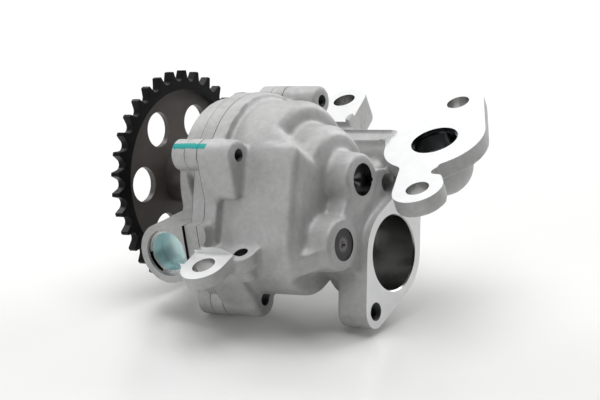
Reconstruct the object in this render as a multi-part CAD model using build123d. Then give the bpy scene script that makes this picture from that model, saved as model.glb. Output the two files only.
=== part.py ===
from build123d import *
from math import acos, atan2, cos, degrees, pi, radians, sin, sqrt, tan
import os

os.makedirs("parts", exist_ok=True)

# Frame: the origin is the centre of the outlet port on the machined mounting face.
# +Z leaves that face towards the engine, X runs along the two shafts, and the sprocket is at -X.

# Shaft lines
drive_y = -35.0
drive_z = 3.0
shaft_centres = 28.5
shaft_line_tilt = 31.5
shaft_r = 6.5
running_gap = 0.03

# Casting stack along X
seam_x = -65.2
plate_thickness = 6.2
cover_thickness = 10.0
rim_depth = 6.0
crown_depth = 26.5
block_depth = 40.7
shaft_boss_length = 10.8

# Casing outline round the two shafts
casing_drive_r = 34.7
casing_idler_r = 24.0
rim_step = 3.2
drive_case_r = 20.3
crown_round = 5.0
block_round = 4.0
cover_inset = 2.0
cover_edge_round = 2.0
end_recess_depth = 4.5
end_recess_drop = 7.3
end_recess_tilt = 18.6

# Shaft bosses on the end wall
shaft_boss_root_r = 11.6
shaft_boss_tip_r = 10.5
boss_web_r = 4.0
idler_rib_width = 9.0
drive_end_recess = 2.8
idler_end_recess = 0.4
oil_groove_width = 2.6
oil_groove_turn = -32.0
oil_groove_depth = 1.0

# Gear pair
gear_teeth = 11
gear_width = 20.0
pressure_angle = 28.0
tooth_addendum = 2.45
tooth_dedendum = 3.1
tooth_backlash = 0.14
pocket_gap = 0.1
gear_side_gap = 0.05
key_width = 3.0
key_height = 2.6
key_length = 12.0

# Cover bolts: angle round the shaft, and how far they lie outside the casing's radius there
bolt_boss_r = 6.3
idler_boss_r = 7.1
bolt_r = 3.0
bolt_clearance = 0.3
bolt_boss_depth = 16.2
cover_boss_depth = 6.4
bolt_head_r = 4.8
bolt_head_height = 3.8
bolt_socket_r = 2.9
bolt_socket_depth = 2.2
bolt_head_gap = 0.3
bolt_thread_reach = 11.5
rim_bolts = [(133.5, 1.6), (23.5, 3.8), (-40.0, 1.3), (-100.0, 0.3)]
idler_bolt = (228.8, -0.7)
teardrop_drop = 16.5
teardrop_tip_r = 1.4

# Dowels between the castings
dowel_r = 3.0
dowel_length = 13.0
dowel_places = [(62.0, -3.2), (-68.0, -9.2)]

# Oil passages
gallery_inner_r = 20.2
gallery_outer_r = 28.2
gallery_depth = 22.0
gallery_start = -22.0
gallery_end = 158.0
suction_r = 8.5
suction_offset = 13.5

# Outlet duct, flange and port
duct_y = 2.0
duct_drop = 12.0
duct_r = 12.4
duct_bore_r = 8.0
port_r = 9.85
port_seat_depth = 2.2
port_throat_r = 9.2
port_neck_r = 13.0
port_neck_drop = 11.5
flange_thickness = 7.5
outlet_disc_r = 21.3
front_lug = (11.35, -35.8)
front_lug_r = 10.5
rear_lug = (-4.6, 30.0)
rear_lug_r = 11.0
lug_root = (1.5, -17.5)
lug_root_r = 7.2
lug_notch_r = 2.5
mount_hole_r = 4.75
saddle_reach = 3.5
saddle_round = 5.0
web_reach = 9.5
core_hole_y = -18.6
core_hole_z = -9.0
core_hole_r = 3.6
core_hole_wall = 2.3
core_hole_depth = 12.0

# Inlet flange
inlet_x = -11.0
inlet_y = -34.3
inlet_z = -32.3
inlet_bore_r = 15.2
inlet_chamfer = 0.9
inlet_ring_r = 19.4
inlet_thickness = 14.5
inlet_neck_wall = 3.2
inlet_bore_depth = 19.0
inlet_bolt_offset = 26.5
inlet_bolt_tilt = 29.2
inlet_lug_r = 6.9
inlet_bolt_r = 3.3
inlet_bolt_depth = 13.0

# Mounting tabs
front_tab_y = -94.1
front_tab_r = 9.7
front_tab_back = -86.0
front_tab_thickness = 6.0
tab_seat_r = 8.0
tab_seat_height = 10.0
tab_web_gap = 1.0
ledge_drop = 1.5
ledge_thickness = 7.0
ledge_hole_side = 10.1
ledge_hole_y = -82.4
ledge_hole_r = 2.9
ledge_hole_depth = 13.5
ledge_r = 6.2
rear_tab_side = 2.2
rear_tab_y = 32.05
rear_tab_r = 9.7
rear_tab_thickness = 12.5
rear_arm_root_side = 12.2
rear_arm_root_y = -4.0
rear_arm_root_r = 8.0
rear_arm_milled = 12.0

# Cover nose and front bush
nose_length = 14.6
nose_root_r = 13.0
nose_tip_r = 11.4
bush_wall = 1.5
bush_length = 13.0
thrust_thickness = 1.0
thrust_r = 10.5
thrust_gap = 0.1

# Sprocket
chain_pitch = 8.0
chain_roller_r = 2.3
sprocket_teeth = 33
sprocket_tip_over = 2.2
tooth_relief = 1.25
sprocket_rim_depth = 3.8
sprocket_rim_width = 5.9
web_setback = 2.6
web_thickness = 2.8
hub_length = 5.9
hub_r = 11.0
web_holes = 6
web_hole_r = 7.25
web_hole_circle_r = 24.5
web_hole_phase = 36.5
sprocket_bolt_r = 3.5
sprocket_bolt_reach = 16.0
washer_r = 10.0
washer_thickness = 2.0
sprocket_bolt_head_r = 6.4
sprocket_bolt_head_height = 5.5

# Relief valve in the cover
relief_side = 10.6
relief_y = -84.2
relief_z = -2.3
relief_tilt = 16.0
relief_boss_r = 12.6
relief_boss_length = 41.0
relief_bore_r = 9.0
relief_bore_depth = 33.5
relief_chamber_r = 7.0
relief_chamber_depth = 39.0
relief_pad_depth = 16.0
relief_pad_half = 11.6
relief_pad_sink = 1.0
relief_pad_reach = 4.0
relief_mouth_r = 9.6
relief_mouth_depth = 2.4
circlip_thickness = 1.0
circlip_width = 1.1
circlip_groove_depth = 0.7
circlip_gap_angle = 60.0
circlip_gap_place = 150.0
cup_length = 7.0
cup_wall = 0.9
cup_floor = 1.4
piston_length = 12.5
piston_wall = 1.8
piston_crown = 3.0
piston_end_gap = 0.1
spring_wire_r = 0.9
spring_wire_sides = 8
spring_turns = 6
spring_side_gap = 0.35
relief_feed_r = 2.5
feed_side = 17.0
plug_r = 3.2
plug_length = 4.0
plug_sink = 0.6
spill_r = 2.5
spill_depth = 27.5
spill_side = 3.5
cover_pocket_width = 6.3
cover_pocket_inner = 25.5
cover_pocket_top = 22.0
cover_pocket_bottom = -1.5

# Worked out from the sizes above
idler_y = drive_y - shaft_centres * cos(radians(shaft_line_tilt))
idler_z = drive_z - shaft_centres * sin(radians(shaft_line_tilt))
plate_x = seam_x - plate_thickness
cover_x = plate_x - cover_thickness
crown_x = seam_x + crown_depth
block_x = seam_x + block_depth
boss_x = block_x + shaft_boss_length
front_tab = (seam_x + front_tab_r, front_tab_y)
ledge_hole = (front_tab[0] + ledge_hole_side, ledge_hole_y)
rear_tab = (seam_x + rear_tab_side, rear_tab_y)
rear_arm_root = (seam_x + rear_arm_root_side, rear_arm_root_y)
relief_x = plate_x - relief_side
spill_x = relief_x - spill_side
saddle_end_x = block_x + saddle_reach
web_end_x = block_x + web_reach
cover_boss_x = plate_x - cover_boss_depth
bolt_seat_x = cover_boss_x + bolt_head_height + 0.2
nose_x = cover_x - nose_length
sprocket_face_x = nose_x - thrust_gap - thrust_thickness - hub_length
pitch_r = shaft_centres / 2
gear_tip_r = pitch_r + tooth_addendum
pocket_r = gear_tip_r + pocket_gap
pocket_depth = gear_width + 2 * gear_side_gap
duct_z = -duct_drop
inlet_back_x = inlet_x - inlet_thickness
inlet_floor_x = inlet_x - inlet_bore_depth
feed_y = drive_y - feed_side
feed_x = plate_x - cover_thickness / 2


def across(x):
    """Plane square to the shafts at x, drawn in (y, z)."""
    return Plane(origin=(x, 0, 0), x_dir=(0, 1, 0), z_dir=(1, 0, 0))


def along(outline, start, end):
    return extrude(across(start) * outline, amount=end - start)


def disc(y, z, r):
    return Pos(y, z) * Circle(r)


def rod(y, z, r, start, end):
    return along(disc(y, z, r), start, end)


def wrap(*discs):
    """Outline stretched round several discs."""
    return make_hull([edge for one in discs for edge in one.edges()])


def from_drive(angle, distance):
    place = radians(angle)
    return drive_y + distance * cos(place), drive_z + distance * sin(place)


def bolt_places():
    places = [from_drive(angle, casing_drive_r + outside) for angle, outside in rim_bolts]
    turn = radians(idler_bolt[0])
    distance = casing_idler_r + idler_bolt[1]
    places.append((idler_y + distance * cos(turn), idler_z + distance * sin(turn)))
    return places


def bolt_rods(start, end):
    """Round bosses for the cover bolts, the one at the idler being the larger."""
    radii = [bolt_boss_r] * len(rim_bolts) + [idler_boss_r]
    return [rod(y, z, r, start, end) for (y, z), r in zip(bolt_places(), radii)]


def casing(inset):
    drive = disc(drive_y, drive_z, casing_drive_r - inset)
    idler = disc(idler_y, idler_z, casing_idler_r - inset)
    return wrap(drive, idler)


def round_end(solid, r):
    return fillet(solid.faces().sort_by(Axis.X)[-1].edges(), r)


def round_front(solid, r):
    return fillet(solid.faces().sort_by(Axis.X)[0].edges(), r)


def cone(y, z, root_r, tip_r, start, end):
    """Tapered round boss from start to end along X."""
    height = abs(end - start)
    direction = 1 if end > start else -1
    base = Plane(origin=(start, y, z), x_dir=(0, 1, 0), z_dir=(direction, 0, 0))
    return base * Cone(root_r, tip_r, height, align=(Align.CENTER, Align.CENTER, Align.MIN))


# Relief valve line: depth runs from the open mouth into the cover
relief_plane = Plane(
    origin=(relief_x, relief_y, relief_z),
    x_dir=(1, 0, 0),
    z_dir=(0, cos(radians(relief_tilt)), -sin(radians(relief_tilt))),
)


def relief_rod(r, start, end):
    column = Cylinder(r, end - start, align=(Align.CENTER, Align.CENTER, Align.MIN))
    return relief_plane * Pos(0, 0, start) * column


def gear_block():
    """Crown over the drive gear, deeper block round both gears, and the end recess."""
    crown = round_end(along(casing(rim_step), seam_x, crown_x), crown_round)
    facing = Pos(drive_y, drive_z) * Rot(0, 0, 180 + shaft_line_tilt)
    reach = shaft_centres + casing_idler_r
    front_half = facing * Pos(reach / 2, 0) * Rectangle(reach, 3 * casing_drive_r)
    block_outline = casing(rim_step) & front_half
    block = round_end(along(block_outline, seam_x, block_x), block_round)
    drive_case = round_end(rod(drive_y, drive_z, drive_case_r, seam_x, block_x), block_round)
    block = block + drive_case
    slant = Pos(idler_y, idler_z) * Rot(0, 0, -end_recess_tilt)
    low = slant * Pos(0, -end_recess_drop - casing_drive_r) * Rectangle(4 * casing_drive_r, 2 * casing_drive_r)
    block -= along(low, block_x - end_recess_depth, block_x + shaft_boss_length)
    return crown + block


def shaft_bosses():
    bosses = cone(drive_y, drive_z, shaft_boss_root_r, shaft_boss_tip_r, block_x - 1, boss_x)
    bosses += cone(idler_y, idler_z, shaft_boss_root_r, shaft_boss_tip_r, block_x - end_recess_depth, boss_x)
    web = wrap(
        disc(drive_y, drive_z, boss_web_r),
        disc(idler_y, idler_z, boss_web_r),
        disc(inlet_y, inlet_z, inlet_ring_r - 1),
        disc(core_hole_y, core_hole_z, core_hole_r + core_hole_wall),
    )
    bosses += along(web, block_x - end_recess_depth, web_end_x)
    edge_y = idler_y - casing_idler_r + rim_step
    side = Plane(origin=(0, 0, idler_z - idler_rib_width / 2))
    ramp = Polyline(
        (block_x - block_round, edge_y + 1),
        (boss_x - 2, idler_y - shaft_boss_tip_r + 1),
        (boss_x - 2, idler_y),
        (block_x - block_round, idler_y),
        close=True,
    )
    bosses += extrude(side * make_face(ramp), amount=idler_rib_width)
    return bosses


def bolt_bosses():
    end = seam_x + bolt_boss_depth
    bosses = bolt_rods(seam_x, end)
    y, z = bolt_places()[0]
    lean = radians(shaft_line_tilt)
    tip_y = y - teardrop_drop * sin(lean)
    tip_z = z - teardrop_drop * cos(lean)
    bosses.append(along(wrap(disc(y, z, bolt_boss_r), disc(tip_y, tip_z, teardrop_tip_r)), seam_x, end))
    return bosses


def outlet_flange():
    """Flat flange with the port disc and two lugs, its duct and the rounded elbow below."""
    plate = wrap(disc(0, 0, outlet_disc_r), disc(*rear_lug, rear_lug_r))
    plate += disc(0, 0, outlet_disc_r)
    arm = wrap(disc(*front_lug, front_lug_r), disc(*lug_root, lug_root_r))
    notch_x = lug_root[0] + lug_root_r + 4.4
    notch_y = front_lug[1] + front_lug_r + lug_notch_r
    arm -= wrap(disc(notch_x, notch_y, lug_notch_r), disc(notch_x + 3 * front_lug_r, notch_y, lug_notch_r))
    plate += arm
    flange = extrude(Plane.XY.offset(-flange_thickness) * plate, amount=flange_thickness)
    neck = Plane.XY.offset(-port_neck_drop) * Circle(port_neck_r)
    elbow = extrude(neck, amount=port_neck_drop - 1) + Pos(0, 0, -port_neck_drop) * Sphere(port_neck_r)
    duct = rod(duct_y, duct_z, duct_r, seam_x + rim_depth, 0)
    side = wrap(disc(drive_y + drive_case_r * 0.7, duct_z, 6.5), disc(duct_y, duct_z, 8.0))
    saddle = round_end(along(side, crown_x - 4, saddle_end_x), saddle_round)
    return flange + saddle + split(elbow + duct, bisect_by=Plane.XY, keep=Keep.BOTTOM)


def inlet_flange():
    turn = radians(inlet_bolt_tilt)
    dy = inlet_bolt_offset * cos(turn)
    dz = inlet_bolt_offset * sin(turn)
    ring = disc(inlet_y, inlet_z, inlet_ring_r)
    outline = wrap(disc(inlet_y - dy, inlet_z - dz, inlet_lug_r), ring, disc(inlet_y + dy, inlet_z + dz, inlet_lug_r))
    neck_r = inlet_bore_r + inlet_neck_wall
    neck = rod(inlet_y, inlet_z, neck_r, inlet_floor_x - inlet_neck_wall, inlet_back_x + 1)
    return along(outline, inlet_back_x, inlet_x) + neck


def tabs():
    """Front tab with its ledge, and the rear tab on its arm."""
    x, y = front_tab
    tab = disc(x, y, front_tab_r)
    tab += Pos(x, (y + front_tab_back) / 2) * Rectangle(2 * front_tab_r, front_tab_back - y)
    shapes = [extrude(Plane.XY.offset(-front_tab_thickness) * tab, amount=front_tab_thickness)]
    web_y, web_z = bolt_places()[-1]
    web = Polyline(
        (y + mount_hole_r + tab_web_gap, -ledge_drop),
        (web_y - idler_boss_r + 1, web_z),
        (web_y, web_z),
        (idler_y, idler_z),
        (front_tab_back, -ledge_drop),
        close=True,
    )
    shapes.append(along(make_face(web), seam_x, seam_x + bolt_boss_depth))
    left = x - front_tab_r + ledge_r
    root_y = idler_y - casing_idler_r / 2
    ledge = wrap(
        disc(*ledge_hole, ledge_r),
        disc(left, front_tab_back, ledge_r),
        disc(left, root_y, ledge_r),
        disc(ledge_hole[0], root_y, ledge_r),
    )
    top = Plane.XY.offset(-ledge_drop - ledge_thickness)
    shapes.append(extrude(top * ledge, amount=ledge_thickness))
    arm = wrap(disc(*rear_tab, rear_tab_r), disc(*rear_arm_root, rear_arm_root_r))
    base = Plane.XY.offset(-rear_tab_thickness)
    shapes.append(extrude(base * arm, amount=rear_tab_thickness - ledge_drop))
    side = 2 * (rear_tab_y + rear_tab_r - rear_arm_milled)
    milled = arm & Pos(rear_tab[0], rear_arm_milled + side / 2) * Rectangle(2 * side, side)
    shapes.append(extrude(base * milled, amount=rear_tab_thickness))
    return shapes


def gallery():
    """Pressure gallery curling over the drive gear, with its port into the outlet duct."""
    ring = disc(drive_y, drive_z, gallery_outer_r) - disc(drive_y, drive_z, gallery_inner_r)
    span = gallery_end - gallery_start
    reach = 2 * casing_drive_r
    steps = 6
    fan = [(drive_y, drive_z)]
    for step in range(steps + 1):
        turn = radians(gallery_start + span * step / steps)
        fan.append((drive_y + reach * cos(turn), drive_z + reach * sin(turn)))
    sector = ring & make_face(Polyline(*fan, close=True))
    hollow = along(sector, seam_x, seam_x + gallery_depth)
    feed_turn = radians(gallery_end - 12)
    feed_r = (gallery_inner_r + gallery_outer_r) / 2
    mesh_y = (drive_y + idler_y) / 2
    mesh_z = (drive_z + idler_z) / 2
    mouth = wrap(
        disc(drive_y + feed_r * cos(feed_turn), drive_z + feed_r * sin(feed_turn), 3.5),
        disc(mesh_y - 12 * sin(radians(shaft_line_tilt)), mesh_z + 12 * cos(radians(shaft_line_tilt)), 4.0),
    )
    hollow += along(mouth, seam_x, seam_x + gallery_depth)
    bend_x = seam_x + gallery_depth - duct_bore_r
    cross_angle = degrees(atan2(duct_z - drive_z, duct_y - drive_y))
    start = from_drive(cross_angle, gallery_inner_r + 3)
    length = sqrt((duct_y - start[0]) ** 2 + (duct_z - start[1]) ** 2)
    line = Plane(
        origin=(bend_x, start[0], start[1]),
        x_dir=(1, 0, 0),
        z_dir=(0, cos(radians(cross_angle)), sin(radians(cross_angle))),
    )
    cross = line * Cylinder(duct_bore_r - 1, length, align=(Align.CENTER, Align.CENTER, Align.MIN))
    duct_hole = rod(duct_y, duct_z, duct_bore_r, bend_x - duct_bore_r + 1, 0)
    port = extrude(Plane.XY.offset(-port_seat_depth) * Circle(port_r), amount=port_seat_depth)
    throat = extrude(Plane.XY.offset(duct_z) * Circle(port_throat_r), amount=duct_drop)
    bend = Pos(0, 0, duct_z) * Sphere(port_throat_r)
    return [hollow, cross, duct_hole, port, throat, bend]


def suction():
    """Inlet bore and the passage from its floor to the side where the teeth part."""
    lean = radians(shaft_line_tilt)
    y = (drive_y + idler_y) / 2 + suction_offset * sin(lean)
    z = (drive_z + idler_z) / 2 - suction_offset * cos(lean)
    port = rod(inlet_y, inlet_z, inlet_bore_r, inlet_floor_x, inlet_x)
    lead_r = inlet_bore_r + inlet_chamfer
    lead = cone(inlet_y, inlet_z, inlet_bore_r, lead_r, inlet_x - inlet_chamfer, inlet_x)
    passage = rod(y, z, suction_r, seam_x, inlet_floor_x + 1)
    return [port, lead, passage]


def shaft_holes(y, z, end):
    hole = rod(y, z, shaft_r + running_gap, seam_x, end)
    lead = cone(y, z, shaft_r + running_gap, shaft_r + running_gap + 0.6, end - 0.6, end)
    return [hole, lead]


def dowel_holes(start, end):
    """Round rods at the two dowel places, used for the holes and for the pins."""
    places = [from_drive(angle, casing_drive_r + outside) for angle, outside in dowel_places]
    return [rod(y, z, dowel_r, start, end) for y, z in places]


def pump_body():
    """Main casting: gear chamber, inlet and outlet flanges, shaft bosses and mounting tabs."""
    body = along(casing(0), seam_x, seam_x + rim_depth)
    body += gear_block()
    body += shaft_bosses()
    body += bolt_bosses()
    body += relief_pad(seam_x, seam_x + relief_pad_reach)
    body += outlet_flange()
    body += inlet_flange()
    body += tabs()
    cuts = [rod(drive_y, drive_z, pocket_r, seam_x, seam_x + pocket_depth)]
    cuts.append(rod(idler_y, idler_z, pocket_r, seam_x, seam_x + pocket_depth))
    cuts += gallery()
    cuts += suction()
    cuts += shaft_holes(drive_y, drive_z, boss_x)
    cuts += shaft_holes(idler_y, idler_z, boss_x)
    turned = Pos(drive_y, drive_z) * Rot(0, 0, oil_groove_turn)
    groove = turned * Pos(shaft_r, 0) * Rectangle(2 * oil_groove_depth, oil_groove_width)
    cuts.append(along(groove, block_x, boss_x))
    cuts += [rod(y, z, bolt_r, seam_x, seam_x + bolt_boss_depth) for y, z in bolt_places()]
    cuts += dowel_holes(seam_x, seam_x + (dowel_length - plate_thickness) / 2)
    for x, y in (front_lug, rear_lug, front_tab, rear_tab):
        cuts.append(upright(y, x, mount_hole_r, idler_z - casing_idler_r, 0))
    x, y = front_tab
    cuts.append(upright(y, x, tab_seat_r, -front_tab_thickness - tab_seat_height, -front_tab_thickness))
    x, y = ledge_hole
    cuts.append(upright(y, x, ledge_hole_r, -ledge_drop - ledge_hole_depth, 0))
    turn = radians(inlet_bolt_tilt)
    for side in (-1, 1):
        y = inlet_y + side * inlet_bolt_offset * cos(turn)
        z = inlet_z + side * inlet_bolt_offset * sin(turn)
        cuts.append(rod(y, z, inlet_bolt_r, inlet_x - inlet_bolt_depth, inlet_x))
    cuts.append(rod(core_hole_y, core_hole_z, core_hole_r, web_end_x - core_hole_depth, web_end_x))
    return body - cuts


def relief_pad(start, end):
    """Square block level with the relief valve's mouth."""
    facing = Pos(relief_y, relief_z) * Rot(0, 0, -relief_tilt)
    block = facing * Pos(relief_pad_depth / 2 + relief_pad_sink, 0)
    return along(block * Rectangle(relief_pad_depth, 2 * relief_pad_half), start, end)


def port_plate():
    """Intermediate casting that closes the gear chamber."""
    plate = along(casing(0), plate_x, seam_x)
    plate += bolt_rods(plate_x, seam_x)
    plate += relief_pad(plate_x, seam_x)
    cuts = [rod(drive_y, drive_z, shaft_r + running_gap, plate_x, seam_x)]
    cuts.append(rod(idler_y, idler_z, shaft_r + running_gap, plate_x, seam_x))
    cuts += [rod(y, z, bolt_r + bolt_clearance, plate_x, seam_x) for y, z in bolt_places()]
    cuts += dowel_holes(plate_x, seam_x)
    cuts.append(rod(feed_y, feed_height(), relief_feed_r, plate_x, seam_x))
    return plate - cuts


def feed_height():
    """Height at which the feed drilling meets the middle of the pressure gallery."""
    middle_r = (gallery_inner_r + gallery_outer_r) / 2
    return drive_z + sqrt(middle_r**2 - feed_side**2)


def feed_start():
    """Height of the cover's underside where the feed drilling begins."""
    edge_r = casing_idler_r - cover_inset
    return idler_z - sqrt(edge_r**2 - (feed_y - idler_y) ** 2)


def upright(y, x, r, bottom, top):
    return Pos(x, y, (bottom + top) / 2) * Cylinder(r, top - bottom)


def cover_pocket():
    """Tapered cast pocket in the cover's edge below the first bolt boss."""
    side = Plane(origin=(0, drive_y - cover_pocket_inner, 0), x_dir=(1, 0, 0), z_dir=(0, -1, 0))
    outline = Polyline(
        (plate_x, drive_z + cover_pocket_top),
        (plate_x - cover_pocket_width, drive_z + cover_pocket_top),
        (plate_x, drive_z + cover_pocket_bottom),
        close=True,
    )
    return extrude(side * make_face(outline), amount=casing_drive_r)


def front_cover():
    """Cover on the chain side: front bearing nose and relief valve housing."""
    face = disc(drive_y, drive_z, casing_drive_r - cover_inset)
    face += wrap(disc(drive_y, drive_z, nose_root_r), disc(idler_y, idler_z, casing_idler_r - cover_inset))
    cover = round_front(along(face, cover_x, plate_x), cover_edge_round) - cover_pocket()
    cover += bolt_rods(cover_boss_x, plate_x)
    cover += cone(drive_y, drive_z, nose_root_r, nose_tip_r, cover_x + 1, nose_x)
    housing = relief_rod(relief_boss_r, relief_pad_depth - 1, relief_boss_length)
    housing += relief_plane * Pos(0, 0, relief_boss_length) * Sphere(relief_boss_r)
    mouth = Circle(relief_boss_r) + Pos((plate_x - relief_x) / 2, 0) * Rectangle(plate_x - relief_x, 2 * relief_pad_half)
    mouth -= Pos(0, -relief_pad_half - relief_boss_r) * Rectangle(4 * relief_boss_r, 2 * relief_boss_r)
    housing += extrude(relief_plane * mouth, amount=relief_pad_depth)
    cover += split(housing, bisect_by=across(plate_x), keep=Keep.BOTTOM)
    bush_r = shaft_r + running_gap + bush_wall
    cuts = [rod(drive_y, drive_z, shaft_r + running_gap, nose_x, plate_x)]
    cuts.append(rod(drive_y, drive_z, bush_r, nose_x, nose_x + bush_length))
    for y, z in bolt_places():
        cuts.append(rod(y, z, bolt_r + bolt_clearance, cover_x - 1, plate_x))
        cuts.append(rod(y, z, bolt_head_r + bolt_head_gap, nose_x, bolt_seat_x))
    cuts += dowel_holes(plate_x - (dowel_length - plate_thickness) / 2, plate_x)
    cuts.append(relief_rod(relief_bore_r, 0, relief_bore_depth))
    cuts.append(relief_rod(relief_chamber_r, relief_bore_depth - 1, relief_chamber_depth))
    groove_start = relief_mouth_depth - circlip_thickness
    cuts.append(relief_rod(relief_mouth_r, 0, groove_start))
    cuts.append(relief_rod(relief_mouth_r + circlip_groove_depth, groove_start, relief_mouth_depth))
    bottom = feed_start()
    cuts.append(upright(feed_y, feed_x, relief_feed_r, bottom - 2, feed_height()))
    cuts.append(upright(feed_y, feed_x, plug_r, bottom - 2, bottom + plug_sink + plug_length))
    cuts.append(rod(feed_y, feed_height(), relief_feed_r, feed_x, plate_x))
    spill = relief_plane.from_local_coords(Vector(0, 0, spill_depth))
    cuts.append(upright(spill.Y, spill_x, spill_r, spill.Z - 2 * relief_boss_r, spill.Z))
    return cover - cuts


def gallery_plug():
    bottom = feed_start() + plug_sink
    return upright(feed_y, feed_x, plug_r, bottom, bottom + plug_length)


def cover_bolts():
    """Five low socket head screws sunk in the cover and screwed into the body."""
    end = seam_x + bolt_thread_reach
    head_x = bolt_seat_x - bolt_head_height
    bolts = []
    for y, z in bolt_places():
        screw = rod(y, z, bolt_r, bolt_seat_x, end) + rod(y, z, bolt_head_r, head_x, bolt_seat_x)
        socket = Pos(y, z) * RegularPolygon(bolt_socket_r, 6)
        bolts.append(screw - along(socket, head_x, head_x + bolt_socket_depth))
    return Compound(children=bolts)


def dowel_pins():
    start = (plate_x + seam_x - dowel_length) / 2
    return Compound(children=dowel_holes(start, start + dowel_length))


def front_bush():
    inner_r = shaft_r + running_gap
    ring = disc(drive_y, drive_z, inner_r + bush_wall) - disc(drive_y, drive_z, inner_r)
    return along(ring, nose_x, nose_x + bush_length)


def involute(angle):
    return tan(angle) - angle


def gear_outline():
    """Spur gear with straight involute flanks of the given pressure angle."""
    alpha = radians(pressure_angle)
    base_r = pitch_r * cos(alpha)
    root_r = pitch_r - tooth_dedendum
    half_pitch = (pi * pitch_r / gear_teeth - tooth_backlash) / 2 / pitch_r
    steps = 5
    flank = []
    for step in range(steps + 1):
        r = base_r + (gear_tip_r - base_r) * step / steps
        flank.append((r, half_pitch + involute(alpha) - involute(acos(base_r / r))))
    gear = Circle(root_r)
    for tooth in range(gear_teeth):
        middle = 2 * pi * tooth / gear_teeth
        right = [(r * cos(middle - half), r * sin(middle - half)) for r, half in flank]
        left = [(r * cos(middle + half), r * sin(middle + half)) for r, half in reversed(flank)]
        foot = flank[0][1]
        inner = root_r - 1.0
        start = (inner * cos(middle - foot), inner * sin(middle - foot))
        end = (inner * cos(middle + foot), inner * sin(middle + foot))
        tip = (gear_tip_r * cos(middle), gear_tip_r * sin(middle))
        edges = [
            Line(start, right[0]),
            Spline(*right),
            ThreePointArc(right[-1], tip, left[0]),
            Spline(*left),
            Line(left[-1], end),
            Line(end, start),
        ]
        gear += make_face(edges)
    return gear


def key_block(y, z, turn, middle_x, slack):
    """Key lying half in the shaft and half in the part on it."""
    outline = Rot(0, 0, turn) * Pos(shaft_r, 0) * Rectangle(key_height + slack, key_width + slack)
    half = key_length / 2 + slack / 2
    return along(Pos(y, z) * outline, middle_x - half, middle_x + half)


gear_middle_x = seam_x + pocket_depth / 2
line_angle = 180 + shaft_line_tilt
half_tooth = 180 / gear_teeth


def gear(y, z, turn, key_turn):
    outline = Pos(y, z) * Rot(0, 0, turn) * gear_outline() - disc(y, z, shaft_r)
    wheel = along(outline, seam_x + gear_side_gap, seam_x + gear_side_gap + gear_width)
    return wheel - key_block(y, z, key_turn, gear_middle_x, 0)


def drive_shaft():
    end = boss_x - drive_end_recess
    back = sprocket_face_x - web_setback - web_thickness
    shaft = rod(drive_y, drive_z, shaft_r, back, end)
    centre = cone(drive_y, drive_z, 0.8, 3.2, end - 2.5, end)
    screw = rod(drive_y, drive_z, sprocket_bolt_r, back, back + sprocket_bolt_reach + 2)
    return shaft - centre - screw - key_block(drive_y, drive_z, line_angle, gear_middle_x, 0)


def idler_shaft():
    shaft = rod(idler_y, idler_z, shaft_r, plate_x + 0.3, boss_x - idler_end_recess)
    centre = cone(idler_y, idler_z, 0.6, 1.6, boss_x - idler_end_recess - 1, boss_x - idler_end_recess)
    return shaft - centre - key_block(idler_y, idler_z, line_angle, gear_middle_x, 0)


def sprocket():
    """Chain wheel with a raised rim, a thin web with round windows and a long hub."""
    wheel_r = chain_pitch / 2 / sin(pi / sprocket_teeth)
    tip_r = wheel_r + sprocket_tip_over
    rim_back = sprocket_face_x - sprocket_rim_depth
    outline = Circle(tip_r)
    seat = Pos(wheel_r, 0) * Circle(chain_roller_r + 0.03)
    mouth = Pos(wheel_r + 3.0, 0) * Circle(chain_roller_r + tooth_relief)
    gap = wrap(seat, mouth)
    gaps = [Rot(0, 0, 360 * tooth / sprocket_teeth) * gap for tooth in range(sprocket_teeth)]
    outline -= gaps
    ring_r = wheel_r - sprocket_rim_width
    rim = along(Pos(drive_y, drive_z) * (outline - Circle(ring_r)), rim_back, sprocket_face_x)
    web_x = sprocket_face_x - web_setback
    web = rod(drive_y, drive_z, ring_r + 1, web_x - web_thickness, web_x)
    hub = rod(drive_y, drive_z, hub_r, web_x - web_thickness, nose_x - thrust_thickness - thrust_gap)
    wheel = rim + web + hub
    for hole in range(web_holes):
        place = from_drive(web_hole_phase + 360 * hole / web_holes, web_hole_circle_r)
        wheel -= rod(*place, web_hole_r, web_x - web_thickness, web_x)
    wheel -= rod(drive_y, drive_z, shaft_r, web_x - web_thickness, nose_x)
    return wheel


def thrust_washer():
    ring = disc(drive_y, drive_z, thrust_r) - disc(drive_y, drive_z, shaft_r)
    start = nose_x - thrust_thickness - thrust_gap
    return along(ring, start, start + thrust_thickness)


def sprocket_washer():
    back = sprocket_face_x - web_setback - web_thickness
    ring = disc(drive_y, drive_z, washer_r) - disc(drive_y, drive_z, sprocket_bolt_r)
    return along(ring, back - washer_thickness, back)


def sprocket_bolt():
    back = sprocket_face_x - web_setback - web_thickness
    seat = back - washer_thickness
    head = Pos(drive_y, drive_z) * RegularPolygon(sprocket_bolt_head_r, 6, major_radius=False)
    bolt = along(head, seat - sprocket_bolt_head_height, seat)
    return bolt + rod(drive_y, drive_z, sprocket_bolt_r, seat, back + sprocket_bolt_reach)


def relief_cup():
    """Spring seat cup, open to the outside, held by the circlip."""
    end = relief_mouth_depth + cup_length
    cup = relief_rod(relief_bore_r, relief_mouth_depth, end)
    return cup - relief_rod(relief_bore_r - cup_wall, relief_mouth_depth, end - cup_floor)


def relief_circlip():
    outer_r = relief_mouth_r + circlip_groove_depth
    ring = Circle(outer_r) - Circle(outer_r - circlip_groove_depth - circlip_width)
    half = radians(circlip_gap_angle / 2)
    reach = 2 * outer_r
    mouth = Polyline((0, 0), (reach * cos(half), reach * sin(half)), (reach * cos(half), -reach * sin(half)), close=True)
    ring -= Rot(0, 0, circlip_gap_place) * make_face(mouth)
    start = relief_mouth_depth - circlip_thickness
    return extrude(relief_plane * Pos(0, 0, start) * ring, amount=circlip_thickness)


piston_start = relief_bore_depth - piston_end_gap - piston_length


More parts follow.
